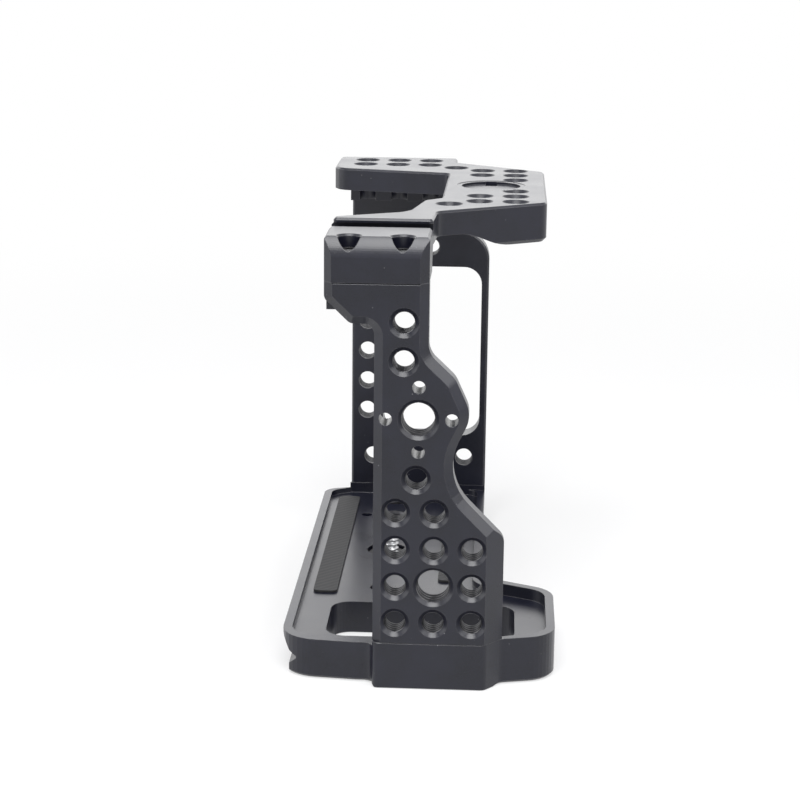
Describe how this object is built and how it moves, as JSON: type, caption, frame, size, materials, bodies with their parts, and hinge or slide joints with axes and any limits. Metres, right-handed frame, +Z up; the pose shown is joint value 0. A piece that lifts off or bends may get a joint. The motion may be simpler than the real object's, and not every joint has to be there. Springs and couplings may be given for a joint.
{
  "type": "camera cage",
  "caption": "Black metal frame that screws together round a camera body, with a base, a top plate and two side columns full of tapped mounting holes.",
  "frame": {"origin": "on the underside, on the axis of the camera screw, which is under the lens axis", "axes": "+Z up, -Y towards the lens, -X towards the grip side, +X towards the port side"},
  "size_m": [0.137, 0.0644, 0.1064],
  "materials": {
    "anodised": "bead-blasted and black anodised",
    "bright_steel": "stainless, lightly brushed",
    "black_steel": "black oxide",
    "nylon": "plain nylon",
    "rubber": "matt silicone rubber"
  },
  "bodies": {
    "frame": {"base_plate": "anodised", "grip_side_column": "anodised", "port_side_column": "anodised", "top_plate": "anodised", "base_pads": "rubber", "top_to_grip_screws": "black_steel", "top_to_grip_dowels": "bright_steel", "base_to_grip_screws": "black_steel", "base_to_grip_dowels": "bright_steel", "top_to_port_screws": "black_steel", "top_to_port_dowels": "bright_steel", "base_to_port_screws": "black_steel", "base_to_port_dowels": "bright_steel"},
    "camera_screw": {"camera_screw": "bright_steel", "screw_washer": "nylon", "screw_clip": "black_steel"},
    "screw_ring": {"screw_ring": "bright_steel"}
  },
  "joints": [
    {"name": "screw_turn", "type": "hinge", "parent": "frame", "child": "camera_screw", "pos_m": [0, 0, 0.0045], "axis": [0, 0, 1], "continuous": true},
    {"name": "ring_fold", "type": "hinge", "parent": "camera_screw", "child": "screw_ring", "pos_m": [0, 0, 0.00262], "axis": [-1, 0, 0], "range_deg": [0, 180]}
  ]
}
